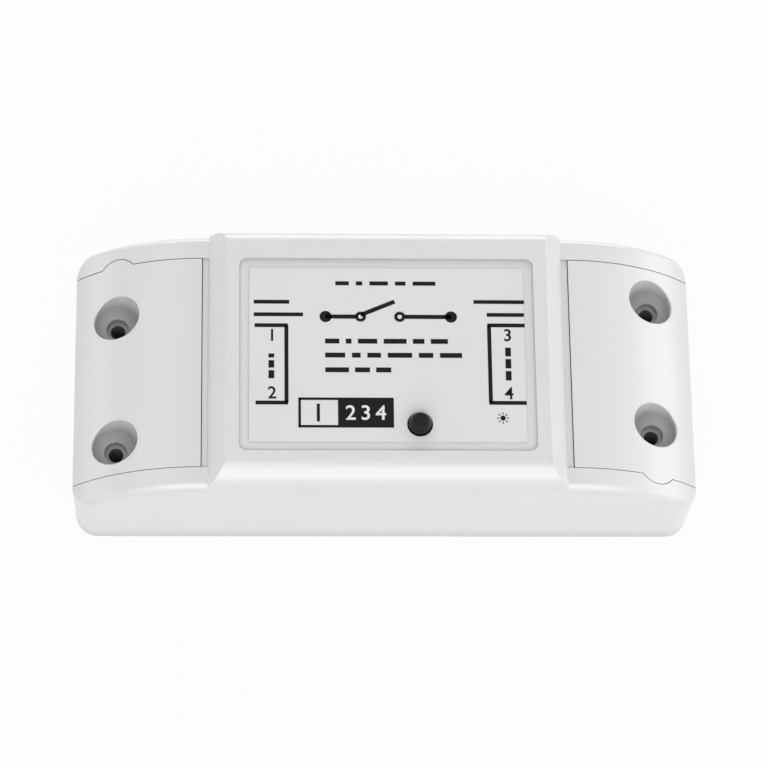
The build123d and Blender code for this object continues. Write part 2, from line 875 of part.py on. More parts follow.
def terminal_screw(y):
    """A terminal screw of the output end, with a slotted head."""
    head_low = shoulder_top + screw_seat_gap
    head_high = head_low + screw_head_height
    with BuildPart() as screw:
        rod(cage_x, y, tongue_high + thread_tip_gap, head_low, thread_radius)
        rod(cage_x, y, head_low, head_high, screw_head_radius)
        brick(
            (cage_x - screw_head_radius - overrun, y - screw_slot_width / 2, head_high - screw_slot_depth),
            (cage_x + screw_head_radius + overrun, y + screw_slot_width / 2, head_high + overrun),
            Mode.SUBTRACT,
        )
    return screw.part


terminal_parts = {"terminal_housing": terminal_housing(), "contact_strips": contact_strips()}
for number, y in enumerate((terminal_pitch / 2, -terminal_pitch / 2), start=1):
    terminal_parts[f"clamp_cage_{number}"] = clamp_cage(y)
    terminal_parts[f"terminal_screw_{number}"] = terminal_screw(y)
for name, solid in terminal_parts.items():
    for end, turn in (("output", 0), ("input", 180)):
        with BuildPart() as placed:
            add(solid.rotate(Axis.Z, turn))
        finish(placed, f"{end}_{name}")

# Relay: its stack is worked out from the top down
relay_room_top = relay_top - relay_wall
relay_base_top = board_top + relay_base_height
rest_blade_high = relay_room_top - contact_headroom
rest_pad_low = rest_blade_high - contact_blade - contact_pad
leaf_high = rest_pad_low - contact_rest_gap - contact_pad
leaf_low = leaf_high - leaf_thickness
armature_low = leaf_low - armature_thickness
pole_height = armature_low - armature_gap
moving_low = leaf_low - contact_pad
working_pad_high = moving_low - contact_gap
working_blade_high = working_pad_high - contact_pad
yoke_left = relay_left + relay_wall + yoke_gap
yoke_right = coil_x + core_radius + yoke_thickness
yoke_top = relay_base_top + yoke_thickness
armature_right = coil_x + core_radius + armature_overlap
contact_edge = contact_x + contact_radius
relay_half_width = relay_width / 2

with BuildPart() as relay_case:
    brick(
        (relay_left, relay_y - relay_half_width, board_top),
        (relay_right, relay_y + relay_half_width, relay_top),
    )
    brick(
        (relay_left + relay_wall, relay_y - relay_half_width + relay_wall, board_top - overrun),
        (relay_right - relay_wall, relay_y + relay_half_width - relay_wall, relay_room_top),
        Mode.SUBTRACT,
    )
finish(relay_case, "relay_case")

with BuildPart() as relay_base:
    inset = relay_wall + relay_fit
    brick(
        (relay_left + inset, relay_y - relay_half_width + inset, board_top),
        (relay_right - inset, relay_y + relay_half_width - inset, relay_base_top),
    )
    for x, y in relay_pin_places:
        rod(x, y, board_top - overrun, relay_base_top + overrun, pin_radius + coil_fit, Mode.SUBTRACT)
finish(relay_base, "relay_base")

with BuildPart() as relay_pins:
    for x, y in relay_pin_places:
        rod(x, y, pin_end, relay_base_top, pin_radius)
finish(relay_pins, "relay_pins")

with BuildPart() as relay_yoke:
    brick(
        (yoke_left, relay_y - yoke_width / 2, relay_base_top),
        (yoke_right, relay_y + yoke_width / 2, yoke_top),
    )
    brick(
        (yoke_left, relay_y - yoke_width / 2, yoke_top),
        (yoke_left + yoke_thickness, relay_y + yoke_width / 2, armature_low - armature_lift),
    )
finish(relay_yoke, "relay_yoke")

with BuildPart() as relay_core:
    rod(coil_x, relay_y, yoke_top, pole_height, core_radius)
finish(relay_core, "relay_core")

spool_low = yoke_top + coil_fit
spool_high = pole_height - bobbin_drop
spool_tube = core_radius + core_fit + bobbin_wall
with BuildPart() as relay_bobbin:
    rod(coil_x, relay_y, spool_low, spool_high, spool_tube)
    rod(coil_x, relay_y, spool_low, spool_low + bobbin_flange, bobbin_radius)
    rod(coil_x, relay_y, spool_high - bobbin_flange, spool_high, bobbin_radius)
    rod(coil_x, relay_y, spool_low - overrun, spool_high + overrun, core_radius + core_fit, Mode.SUBTRACT)
finish(relay_bobbin, "relay_bobbin")

with BuildPart() as relay_coil:
    coil_low = spool_low + bobbin_flange + coil_fit
    coil_high = spool_high - bobbin_flange - coil_fit
    rod(coil_x, relay_y, coil_low, coil_high, bobbin_radius - coil_margin)
    rod(coil_x, relay_y, coil_low - overrun, coil_high + overrun, spool_tube + coil_fit, Mode.SUBTRACT)
finish(relay_coil, "relay_coil")

with BuildPart() as relay_armature:
    brick(
        (yoke_left, relay_y - yoke_width / 2, armature_low),
        (armature_right, relay_y + yoke_width / 2, leaf_low),
    )
finish(relay_armature, "relay_armature")

with BuildPart() as relay_moving_contact:
    brick(
        (armature_right - leaf_overlap, relay_y - leaf_width / 2, leaf_low),
        (contact_edge, relay_y + leaf_width / 2, leaf_high),
    )
    rod(contact_x, relay_y, moving_low, leaf_high + contact_pad, contact_radius)
finish(relay_moving_contact, "relay_moving_contact")


def fixed_contact(name, side, blade_high, pad_low, pad_high):
    """A fixed contact of the relay: a blade bent over under or above the moving contact."""
    blade_low = blade_high - contact_blade
    inner = side * contact_radius
    outer = side * (contact_spread + contact_blade_width / 2)
    foot = outer - side * contact_blade_width
    with BuildPart() as contact:
        low, high = sorted((-inner, outer))
        brick(
            (contact_x - contact_radius, relay_y + low, blade_low),
            (contact_edge, relay_y + high, blade_high),
        )
        low, high = sorted((foot, outer))
        brick(
            (contact_edge, relay_y + low, blade_low),
            (blade_x + contact_blade, relay_y + high, blade_high),
        )
        brick(
            (blade_x, relay_y + low, relay_base_top),
            (blade_x + contact_blade, relay_y + high, blade_low),
        )
        rod(contact_x, relay_y, pad_low, pad_high, contact_radius)
    finish(contact, name)


fixed_contact("relay_working_contact", -1, working_blade_high, working_blade_high, working_pad_high)
fixed_contact("relay_rest_contact", 1, rest_blade_high, rest_pad_low, rest_blade_high - contact_blade)

# Power supply: a ring-shaped core with a middle limb, its bobbin and its winding
core_low = board_top + transformer_foot
core_high = board_top + transformer_height
window_low = core_low + transformer_yoke
window_high = core_high - transformer_yoke
core_reach = transformer_length / 2
window_reach = core_reach - transformer_yoke
limb_reach = transformer_limb / 2
core_half_depth = transformer_depth / 2
with BuildPart() as transformer_core:
    brick(
        (transformer_x - core_reach, transformer_y - core_half_depth, core_low),
        (transformer_x + core_reach, transformer_y + core_half_depth, core_high),
    )
    for side in (-1, 1):
        low, high = sorted((side * limb_reach, side * window_reach))
        brick(
            (transformer_x + low, transformer_y - core_half_depth - overrun, window_low),
            (transformer_x + high, transformer_y + core_half_depth + overrun, window_high),
            Mode.SUBTRACT,
        )
finish(transformer_core, "transformer_core")

hole_x = limb_reach + transformer_fit
hole_y = core_half_depth + transformer_fit
tube_x = hole_x + transformer_tube_wall
tube_y = hole_y + transformer_tube_wall
flange_x = window_reach - transformer_fit
flange_y = transformer_width / 2
spool_base = window_low + transformer_fit
spool_head = window_high - transformer_fit


def about_transformer(reach_x, reach_y, low, high, mode=Mode.ADD):
    """A box about the transformer's upright axis, in the part being built."""
    brick(
        (transformer_x - reach_x, transformer_y - reach_y, low),
        (transformer_x + reach_x, transformer_y + reach_y, high),
        mode,
    )


with BuildPart() as transformer_bobbin:
    about_transformer(core_reach, flange_y, board_top, core_low - transformer_fit)
    about_transformer(flange_x, flange_y, core_low - transformer_fit, spool_base + transformer_flange)
    about_transformer(core_reach, hole_y, core_low - transformer_fit, spool_base, Mode.SUBTRACT)
    about_transformer(tube_x, tube_y, spool_base, spool_head)
    about_transformer(flange_x, flange_y, spool_head - transformer_flange, spool_head)
    about_transformer(hole_x, hole_y, core_low - transformer_fit, spool_head + overrun, Mode.SUBTRACT)
    board_pins(transformer_pins)
finish(transformer_bobbin, "transformer_bobbin")

winding_low = spool_base + transformer_flange + coil_fit
winding_high = spool_head - transformer_flange - coil_fit
with BuildPart() as transformer_winding:
    about_transformer(
        flange_x - winding_margin, flange_y - winding_margin, winding_low, winding_high
    )
    fillet(transformer_winding.edges().filter_by(Axis.Z), winding_round)
    about_transformer(
        tube_x + coil_fit, tube_y + coil_fit, winding_low - overrun, winding_high + overrun, Mode.SUBTRACT
    )
finish(transformer_winding, "transformer_winding")


def can_capacitor(name, x, y, radius, height, pins):
    """An upright can capacitor, drawn in near its foot."""
    with BuildPart() as can:
        groove_low = board_top + capacitor_shoulder
        groove_high = groove_low + capacitor_groove
        rod(x, y, board_top, groove_low, radius)
        rod(x, y, groove_low, groove_high, radius - capacitor_groove)
        rod(x, y, groove_high, board_top + height, radius)
        fillet(can.faces().sort_by(Axis.Z)[-1].edges(), capacitor_round)
        board_pins(pins)
    finish(can, name)


can_capacitor(
    "mains_capacitor", mains_capacitor_x, mains_capacitor_y,
    mains_capacitor_radius, mains_capacitor_height, mains_pins,
)
can_capacitor(
    "supply_capacitor", supply_capacitor_x, supply_capacitor_y,
    supply_capacitor_radius, supply_capacitor_height, supply_pins,
)

with BuildPart() as film_capacitor:
    brick(
        (film_x - film_length / 2, film_y - film_width / 2, board_top),
        (film_x + film_length / 2, film_y + film_width / 2, board_top + film_height),
    )
    fillet(film_capacitor.edges().filter_by(Axis.Z), film_round)
    fillet(film_capacitor.faces().sort_by(Axis.Z)[-1].edges(), film_round / 2)
    board_pins(film_pins)
finish(film_capacitor, "film_capacitor")

fuse_z = board_top + lead_lift + fuse_radius
with BuildPart() as fuse_resistor:
    fuse_low = fuse_y - fuse_length / 2
    fuse_high = fuse_y + fuse_length / 2
    rod_along_y(fuse_x, fuse_z, fuse_low, fuse_high, fuse_radius - fuse_end_step)
    rod_along_y(fuse_x, fuse_z, fuse_low, fuse_low + fuse_end, fuse_radius)
    rod_along_y(fuse_x, fuse_z, fuse_high - fuse_end, fuse_high, fuse_radius)
    rod_along_y(fuse_x, fuse_z, fuse_low - fuse_lead_reach, fuse_high + fuse_lead_reach, pin_radius)
    for x, y in fuse_pins:
        rod(x, y, pin_end, fuse_z, pin_radius)
        with Locations((x, y, fuse_z)):
            Sphere(pin_radius)
finish(fuse_resistor, "fuse_resistor")

with BuildPart() as varistor:
    varistor_z = board_top + lead_lift + varistor_radius
    varistor_low = varistor_x - varistor_thickness / 2
    rod_along_x(varistor_y, varistor_z, varistor_low, varistor_low + varistor_thickness, varistor_radius)
    fillet(varistor.edges().filter_by(GeomType.CIRCLE), varistor_round)
    for x, y in varistor_pins:
        rod(x, y, pin_end, varistor_z, pin_radius)
finish(varistor, "varistor")

with BuildPart() as supply_inductor:
    inductor_reach = inductor_size / 2
    inductor_top = board_top + inductor_height
    brick(
        (inductor_x - inductor_reach, inductor_y - inductor_reach, board_top),
        (inductor_x + inductor_reach, inductor_y + inductor_reach, board_top + inductor_rim),
    )
    rod(inductor_x, inductor_y, board_top, inductor_top, inductor_reach - inductor_waist)
    rod(inductor_x, inductor_y, inductor_top - inductor_rim, inductor_top, inductor_reach)
finish(supply_inductor, "supply_inductor")


def chip(name, x, y, length, width, height, leg_count, leg_width):
    """A moulded chip with flat legs along two sides."""
    with BuildPart() as package:
        brick(
            (x - length / 2, y - width / 2, board_top),
            (x + length / 2, y + width / 2, board_top + height),
        )
        chamfer(package.faces().sort_by(Axis.Z)[-1].edges(), chip_chamfer)
        for place in range(leg_count):
            leg_place = x - length / 2 + (place + 1 / 2) * length / leg_count
            brick(
                (leg_place - leg_width / 2, y - width / 2 - chip_leg_reach, board_top),
                (leg_place + leg_width / 2, y + width / 2 + chip_leg_reach, board_top + chip_leg_thickness),
            )
    finish(package, name)


chip("bridge_rectifier", bridge_x, bridge_y, bridge_length, bridge_width, bridge_height, 2, bridge_leg_width)
chip(
    "regulator_chip", regulator_x, regulator_y, regulator_length,
    regulator_width, regulator_height, 4, regulator_leg_width,
)
chip(
    "driver_transistor", transistor_x, driver_row, transistor_length,
    transistor_width, transistor_height, 2, transistor_leg_width,
)
chip("flyback_diode", diode_x, driver_row, diode_length, diode_width, diode_height, 1, diode_leg_width)

# Radio module: a small board with a shield can over one end, and the lamp beside the button
module_top = board_top + module_thickness
with BuildPart() as radio_module_board:
    brick(
        (module_x - module_length / 2, module_y - module_width / 2, board_top),
        (module_x + module_length / 2, module_y + module_width / 2, module_top),
    )
finish(radio_module_board, "radio_module_board")

with BuildPart() as radio_module_shield:
    shield_x = module_x + module_length / 2 - shield_inset - shield_length / 2
    brick(
        (shield_x - shield_length / 2, module_y - shield_width / 2, module_top),
        (shield_x + shield_length / 2, module_y + shield_width / 2, module_top + shield_height),
    )
    offset(amount=-shield_wall, openings=radio_module_shield.faces().sort_by(Axis.Z)[0])
finish(radio_module_shield, "radio_module_shield")

with BuildPart() as indicator_lamp:
    brick(
        (lamp_x - lamp_length / 2, driver_row - lamp_width / 2, board_top),
        (lamp_x + lamp_length / 2, driver_row + lamp_width / 2, board_top + lamp_height),
    )
    chamfer(indicator_lamp.faces().sort_by(Axis.Z)[-1].edges(), chip_chamfer)
finish(indicator_lamp, "indicator_lamp")
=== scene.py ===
"""Looks of an in-line relay module: moulded housing, printed face label, button and electronics."""

import json
import math

import bpy
from bpy.props import FloatProperty, PointerProperty, StringProperty
from mathutils import Matrix, Vector


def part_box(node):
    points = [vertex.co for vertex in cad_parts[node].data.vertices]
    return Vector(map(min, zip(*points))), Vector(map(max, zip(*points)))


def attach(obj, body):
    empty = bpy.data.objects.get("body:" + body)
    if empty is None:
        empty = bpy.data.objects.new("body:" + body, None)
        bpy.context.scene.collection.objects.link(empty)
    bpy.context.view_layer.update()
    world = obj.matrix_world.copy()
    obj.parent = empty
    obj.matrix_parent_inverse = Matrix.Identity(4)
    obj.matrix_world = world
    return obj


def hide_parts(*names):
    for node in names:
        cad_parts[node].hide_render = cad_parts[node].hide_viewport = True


bl_info = {
    "name": "Relay module looks",
    "version": (1, 0, 0),
    "blender": (4, 5, 0),
    "location": "View3D > Sidebar > Relay module",
    "description": "Dresses the housing, label, button and electronics of an in-line relay module",
    "category": "Object",
}

MM = 0.001
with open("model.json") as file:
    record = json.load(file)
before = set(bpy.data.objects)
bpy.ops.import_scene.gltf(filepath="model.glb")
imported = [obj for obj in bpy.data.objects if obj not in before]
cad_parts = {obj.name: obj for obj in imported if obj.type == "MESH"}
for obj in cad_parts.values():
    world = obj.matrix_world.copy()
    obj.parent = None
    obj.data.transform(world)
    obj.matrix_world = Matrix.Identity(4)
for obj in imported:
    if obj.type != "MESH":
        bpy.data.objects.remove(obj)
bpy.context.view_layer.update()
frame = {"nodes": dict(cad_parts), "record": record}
LABEL_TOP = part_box("face_label")[1].z
WHITE = "#FFFFFF"

# Rounding of a moulding's copy: points closer than the weld are merged and faces flatter than the flat
# angle are joined first, then the sharp edges get a round of a few steps; mm and degrees
WELD = 0.002
FLAT_ANGLE = 0.05
EDGE_ANGLE = 28
EDGE_STEPS = 3
SMOOTH_ANGLE = 34
BUTTON_EDGE = 0.08

# Painted shade in hollows and seams: how far a place looks for a neighbouring wall in mm, how open it is
# where the painted dark tone is full and where it ends, and how many rays look
PAINTED_SHADE_REACH = 5
PAINTED_SHADE_SHARES = (0.25, 0.9)
PAINTED_SHADE_SAMPLES = 8

# Finishes by the real material: two tones, roughness, and sizes in millimetres for grain and bump
# The real grains are finer than the render can show, so none is drawn below 0.2 mm
FINISHES = {
    # Glass-fibre laminate under green solder lacquer: the weave shows as a fine tooth
    "lacquered_glass_laminate": dict(
        base="#1B5E3A", shade="#164F31", roughness=0.35, grain_mm=0.5, bump_mm=0.01, ior=1.55),
    # Moulded polyamide of terminal blocks: bright green and slightly dull
    "moulded_green_polyamide": dict(
        base="#2E8B4A", shade="#287B41", roughness=0.5, grain_mm=0.4, bump_mm=0.006, ior=1.53),
    # Zinc-plated steel: bright with soft drawing lines
    "zinc_plated_steel": dict(
        base="#C9CACC", shade="#BFC0C4", roughness=0.3, grain_mm=0.3, bump_mm=0.002, metallic=1.0,
        stretch=(1, 1, 0.12)),
    # Tin-plated sheet and leads: pale, a little milky
    "tinned_sheet": dict(
        base="#CFCFCB", shade="#C4C4C0", roughness=0.36, grain_mm=0.6, bump_mm=0.002, metallic=1.0),
    # Rolled brass strip: warm yellow, with the rolling lines along its length
    "rolled_brass": dict(
        base="#D8B35A", shade="#C9A24C", roughness=0.28, grain_mm=0.4, metallic=1.0, stretch=(0.1, 1, 1)),
    # Moulded polyester of a relay's case: an even blue with a soft shine
    "moulded_blue_polyester": dict(
        base="#1F4E96", shade="#1B4587", roughness=0.38, grain_mm=0.5, bump_mm=0.005, ior=1.55),
    # Moulded phenolic of coil formers: black, dull and a little rough
    "moulded_black_phenolic": dict(
        base="#232323", shade="#1B1B1B", roughness=0.5, grain_mm=0.4, bump_mm=0.008, ior=1.55),
    # Enamelled copper in fine turns round the upright axis: a warm red-brown that glints in rings
    "enamelled_copper_turns": dict(
        base="#B4622E", shade="#9C5124", roughness=0.3, grain_mm=0.5, bump_mm=0.03, metallic=1.0,
        stretch=(0.05, 0.05, 4)),
    # Polyester winding tape: smooth, bright yellow
    "polyester_winding_tape": dict(
        base="#E2C03A", shade="#D8B52F", roughness=0.3, grain_mm=0.7, bump_mm=0.006, ior=1.55,
        stretch=(0.2, 0.2, 2)),
    # Sintered ferrite: dull dark grey with a grainy tooth
    "sintered_ferrite": dict(
        base="#3A3A3D", shade="#2E2E31", roughness=0.7, grain_mm=0.25, bump_mm=0.02, ior=1.8),
    # Shrunk sleeve over an aluminium can: a tight, shiny dark blue skin
    "shrunk_sleeve_can": dict(
        base="#2B3350", shade="#252C46", roughness=0.25, grain_mm=0.8, bump_mm=0.004, ior=1.54),
    # Moulded polyester box of a film capacitor: plain yellow with a dry sheen
    "moulded_yellow_box": dict(
        base="#D9BE3C", shade="#CDB233", roughness=0.42, grain_mm=0.4, bump_mm=0.006, ior=1.55),
    # Resistor lacquer: grey-green, thick and slightly uneven
    "green_resistor_lacquer": dict(
        base="#3F7A66", shade="#376C5A", roughness=0.45, grain_mm=0.5, bump_mm=0.01, ior=1.52),
    # Dipped epoxy: a blue skin with soft waves
    "blue_dipped_resin": dict(
        base="#24509A", shade="#1E478C", roughness=0.35, grain_mm=1.2, bump_mm=0.03, ior=1.55),
    # Moulded epoxy of chips: matt near-black
    "moulded_chip_epoxy": dict(
        base="#1F1F20", shade="#191919", roughness=0.6, grain_mm=0.2, bump_mm=0.006, ior=1.55),
    # Cast epoxy of a lamp's lens: milky and pale
    "milky_lamp_epoxy": dict(base="#E8E6DA", shade="#DEDCCD", roughness=0.3, grain_mm=0.4, ior=1.5),
}

# Label print in millimetres, x towards the output end and y towards the back
# Ruled lines as (left, right, y), and the brackets that join them as (x, low, high)
RULED_LINES = (
    (-18.67, -13.69, 8.1), (-18.67, -11.76, 6.2), (-18.54, -13.9, 4.55), (-18.4, -13.9, -7.0),
    (12.22, 19.33, 8.2), (14.04, 19.28, 6.25), (14.1, 19.33, 4.66), (14.1, 19.3, -6.95),
)
BRACKETS = ((-14.1, -7.0, 4.55), (14.32, -6.95, 4.66))

# Changeover contact: two lines, a slanting arm, two rings and two dots, with their centres on one line
CONTACT_Y = 5.9
CONTACT_STROKE = 0.62
CONTACT_LINES = ((-8.6, -4.3), (2.4, 9.0))
CONTACT_ARM = ((-3.7, 6.15), (1.1, 8.2))
CONTACT_RINGS = (-3.7, 1.8)
CONTACT_DOTS = (-8.6, 9.0)
RING_RADIUS = 0.78
RING_STROKE = 0.45
DOT_RADIUS = 0.85

# Steps of a ring, with the length of its strokes as a share of a step so that they overlap, and of a dot
RING_STEPS = 40
RING_OVERLAP = 1.04
DOT_STEPS = 32

# Small print as (left, y, stroke lengths, stroke height, gap), and upright print as (left, strokes), each
# stroke from low to high
SMALL_PRINT = (
    (-7.2, 10.95, (1.9, 0.9, 2.6, 1.5, 3.2), 0.6, 1.0),
    (-8.7, 2.2, (2.0, 0.8, 2.7, 3.2, 1.6, 2.4), 0.72, 0.9),
    (-8.7, 0.1, (2.8, 1.2, 1.9, 3.4, 2.0, 3.1), 0.72, 0.95),
    (-8.7, -2.1, (3.3, 2.1, 2.1), 0.72, 0.85),
)
UPRIGHT_PRINT = (
    (-16.6, ((-3.4, -2.2), (-1.8, -0.7), (-0.3, 0.3))),
    (16.5, ((-3.6, -2.2), (-1.8, -0.4), (0.0, 1.3))),
)
UPRIGHT_WIDTH = 0.8

# Framed panel, half open and half solid
PANEL_LEFT, PANEL_SPLIT, PANEL_RIGHT = -12.47, -6.97, 0.79
PANEL_LOW, PANEL_HIGH = -10.67, -6.24
PANEL_FRAME = 0.36

# Lamp sign: a dot with rays
SIGN_X, SIGN_Y = 15.95, -9.2
SIGN_DOT = 0.36
SIGN_RAYS = 8
RAY_START, RAY_END = 0.52, 0.85
RAY_WIDTH = 0.13

# Numerals as (sign, x, y), their heights, the height of a sign as a share of its type size, and how much
# bolder they are drawn
POLE_NUMERALS = (("1", -16.1, 3.1), ("2", -16.1, -5.5), ("3", 16.9, 3.2), ("4", 16.9, -5.5))
POLE_SIZE = 1.75
PANEL_NUMERAL = ("1", -9.7, -8.45)
PANEL_SIZE = 2.6
WHITE_NUMERALS = (("2", -5.2, -8.45), ("3", -3.1, -8.45), ("4", -1.0, -8.45))
WHITE_SIZE = 2.1
NUMERAL_HEIGHT_SHARE = 0.69
NUMERAL_BOLDNESS = 0.03
NUMERAL_STEPS = 6

# The print starts from a speck of this size, inside the first ruled line
SPECK = 0.1

# Lamps by direction in degrees from the front: each with its height angle, its own height in metres and
# its power in watts
LAMPS = {
    0: ((40, 0.58, 3.85),),
    90: ((14, 0.3, 1.7), (44, 0.26, 0.3)),
    180: ((20, 0.42, 3.1),),
    225: ((52, 0.2, 0.35),),
    270: ((10, 0.2, 0.7), (43, 0.26, 0.15)),
}
# Length of a lamp, its distance and the point it looks at, in metres
LAMP_LENGTH = 0.8
LAMP_DISTANCE = 0.6
LAMP_TARGET = (0, 0, 0.01)

# Camera: its shift is a share of the picture's width, its target and nearest distance are in metres
SENSOR_WIDTH_MM = 36.0
CAMERA_SHIFT = (0.000264, 0.00252)
CAMERA_TARGET = (0, 0, 0.011)
NEAREST = 0.01

# Floor: its size in metres, its colour, and how much of it the camera sees as plain white
FLOOR_SIZE = 6
CARD = "#D6D6D6"
FLOOR_WHITE_SHARE = 0.95

# Small helpers


def linear(code):
    """Linear colour of an sRGB hex value, with full alpha."""
    parts = [int(code[i : i + 2], 16) / 255 for i in (1, 3, 5)]
    return [c / 12.92 if c <= 0.04045 else ((c + 0.055) / 1.055) ** 2.4 for c in parts] + [1.0]


def put(tree, kind, values=None, links=None, **settings):
    """Adds a shader node with its settings, its input values and its incoming links."""
    made = tree.nodes.new(kind)
    for name, value in settings.items():
        setattr(made, name, value)
    for socket, value in (values or {}).items():
        made.inputs[socket].default_value = value
    for socket, source in (links or {}).items():
        tree.links.new(source, made.inputs[socket])
    return made


def seen_straight(tree):
    """One for camera, glossy and transmission rays, nothing for the others."""
    ray = put(tree, "ShaderNodeLightPath").outputs
    seen = put(tree, "ShaderNodeMath", links={0: ray["Is Camera Ray"], 1: ray["Is Glossy Ray"]},
               operation="ADD", use_clamp=True)
    seen = put(tree, "ShaderNodeMath", links={0: seen.outputs[0], 1: ray["Is Transmission Ray"]},
               operation="ADD", use_clamp=True)
    return seen.outputs[0]


def surface(name, base, shade, roughness, grain_mm, bump_mm=0.0, metallic=0.0, ior=None, coat=0.0,
            coat_roughness=0.15, coat_ior=1.6, stretch=(1, 1, 1), blotch_mm=9.0, rough_spread=0.06,
            specular=None, painted_hollow_shade=None):
    """A finish whose colour drifts between two tones, with a grain of real size in its height and gloss."""
    material = bpy.data.materials.new(name)
    material.use_nodes = True
    tree = material.node_tree
    shader = tree.nodes["Principled BSDF"]
    place = put(tree, "ShaderNodeTexCoord").outputs["Object"]
    turned = put(tree, "ShaderNodeMapping", {"Scale": stretch}, {"Vector": place}).outputs["Vector"]
    blotch = put(tree, "ShaderNodeTexNoise", {"Scale": 1 / (blotch_mm * MM), "Detail": 3.0},
                 {"Vector": place})
    grain = put(tree, "ShaderNodeTexNoise", {"Scale": 1 / (grain_mm * MM), "Detail": 2.0},
                {"Vector": turned})
    # The Mix node's colour sockets: 6 and 7 in, 2 out
    tone = put(tree, "ShaderNodeMix", {6: linear(base), 7: linear(shade)}, {0: blotch.outputs["Fac"]},
               data_type="RGBA")
    colour = tone.outputs[2]
    if painted_hollow_shade:
        # Painted shade: hollows and seams are toned darker where walls stand close round them
        depth = put(tree, "ShaderNodeAmbientOcclusion", {"Distance": PAINTED_SHADE_REACH * MM},
                    samples=PAINTED_SHADE_SAMPLES)
        full, ended = PAINTED_SHADE_SHARES
        share = put(tree, "ShaderNodeMapRange", {"From Min": full, "From Max": ended},
                    {"Value": depth.outputs["AO"]})
        colour = put(tree, "ShaderNodeMix", {6: linear(painted_hollow_shade)}, {0: share.outputs["Result"], 7: colour},
                     data_type="RGBA").outputs[2]
    tree.links.new(colour, shader.inputs["Base Color"])
    gloss = put(
        tree, "ShaderNodeMapRange",
        {"To Min": roughness - rough_spread / 2, "To Max": roughness + rough_spread / 2},
        {"Value": grain.outputs["Fac"]},
    )
    tree.links.new(gloss.outputs["Result"], shader.inputs["Roughness"])
    if bump_mm:
        bump = put(tree, "ShaderNodeBump", {"Distance": bump_mm * MM, "Strength": 1.0},
                   {"Height": grain.outputs["Fac"]})
        tree.links.new(bump.outputs["Normal"], shader.inputs["Normal"])
    shader.inputs["Metallic"].default_value = metallic
    if ior:
        shader.inputs["IOR"].default_value = ior
    if specular is not None:
        shader.inputs["Specular IOR Level"].default_value = specular
    shader.inputs["Coat Weight"].default_value = coat
    shader.inputs["Coat Roughness"].default_value = coat_roughness
    shader.inputs["Coat IOR"].default_value = coat_ior
    return material


def finish(name):
    """The material of one finish, made at its first use and shared after that."""
    return bpy.data.materials.get(name) or surface(name, **FINISHES[name])


def dress(material, *names):
    """Gives CAD nodes one finish."""
    for name in names:
        thing = frame["nodes"][name]
        for place in thing.material_slots:
            place.material = material


def towards(azimuth, elevation):
    """The unit vector from the module to a place round it, by two angles from the front."""
    level = math.cos(elevation)
    return Vector((math.sin(azimuth) * level, -math.cos(azimuth) * level, math.sin(elevation)))


def nothing_selected():
    """Deselects every object and leaves edit mode."""
    if bpy.context.object and bpy.context.object.mode != "OBJECT":
        bpy.ops.object.mode_set(mode="OBJECT")
    bpy.ops.object.select_all(action="DESELECT")


def pick(thing):
    """Makes one object the only selected and active one."""
    nothing_selected()
    thing.select_set(True)
    bpy.context.view_layer.objects.active = thing


def joined(pieces, name):
    """Joins pieces into the first of them and names it."""
    whole = pieces[0]
    pick(whole)
    for piece in pieces[1:]:
        piece.select_set(True)
    bpy.ops.object.join()
    whole.name = name
    return whole


def body_name(node):
    """The rigid body that a CAD node belongs to."""
    for name, nodes in frame["record"]["behaviour"]["bodies"].items():
        if node in nodes:
            return name
    raise RuntimeError(f"{node} is in no body")


def rounded(node, radius, material):
    """A copy of a CAD node with its sharp edges rounded as a mould leaves them, in the node's place."""
    source = frame["nodes"][node]
    mesh = source.data.copy()
    piece = bpy.data.objects.new(node + "_moulding", mesh)
    bpy.context.collection.objects.link(piece)
    mesh.materials.clear()
    mesh.materials.append(material)
    pick(piece)
    bpy.ops.object.mode_set(mode="EDIT")
    bpy.ops.mesh.select_all(action="SELECT")
    bpy.ops.mesh.remove_doubles(threshold=WELD * MM)
    bpy.ops.mesh.dissolve_limited(angle_limit=math.radians(FLAT_ANGLE))
    bpy.ops.mesh.normals_make_consistent(inside=False)
    bpy.ops.object.mode_set(mode="OBJECT")
    bpy.ops.object.modifier_add(type="BEVEL")
    edge = piece.modifiers[-1]
    edge.width = radius
    edge.segments = EDGE_STEPS
    edge.limit_method = "ANGLE"
    edge.angle_limit = math.radians(EDGE_ANGLE)
    bpy.ops.object.modifier_apply(modifier=edge.name)
    bpy.ops.object.shade_smooth_by_angle(angle=math.radians(SMOOTH_ANGLE))
    # The wide faces keep their own shading up to the rounded edges
    bpy.ops.object.modifier_add(type="WEIGHTED_NORMAL")
    piece.modifiers[-1].keep_sharp = True
    bpy.ops.object.modifier_apply(modifier=piece.modifiers[-1].name)
    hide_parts(node)
    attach(piece, body_name(node))


class HousingLook(bpy.types.PropertyGroup):
    """Colours and edges of the white mouldings."""

    white: StringProperty(name="White", description="sRGB colour of the mouldings", default="#DAD7DA")
    shade: StringProperty(name="Shade", description="Second tone, a little darker", default="#D6D3D6")
    roughness: FloatProperty(
        name="Roughness", description="Gloss of the mouldings", default=0.4, min=0.0, max=1.0,
        subtype="FACTOR")
    shell_edge: FloatProperty(
        name="Shell edge", description="Edge radius of the shell", default=0.3 * MM, subtype="DISTANCE")
    cover_edge: FloatProperty(
        name="Cover edge", description="Edge radius of the end covers and the base", default=0.16 * MM,
        subtype="DISTANCE")


class PrintLook(bpy.types.PropertyGroup):
    """The printed face label."""

    film: StringProperty(name="Film", description="sRGB colour of the label's film", default="#E0DDE0")
    ink: StringProperty(name="Ink", description="sRGB colour of the print", default="#161516")
    line: FloatProperty(
        name="Line", description="Width of the ruled lines", default=0.56 * MM, subtype="DISTANCE")
    lift: FloatProperty(
        name="Lift", description="Height of the ink over the film", default=0.02 * MM, subtype="DISTANCE")


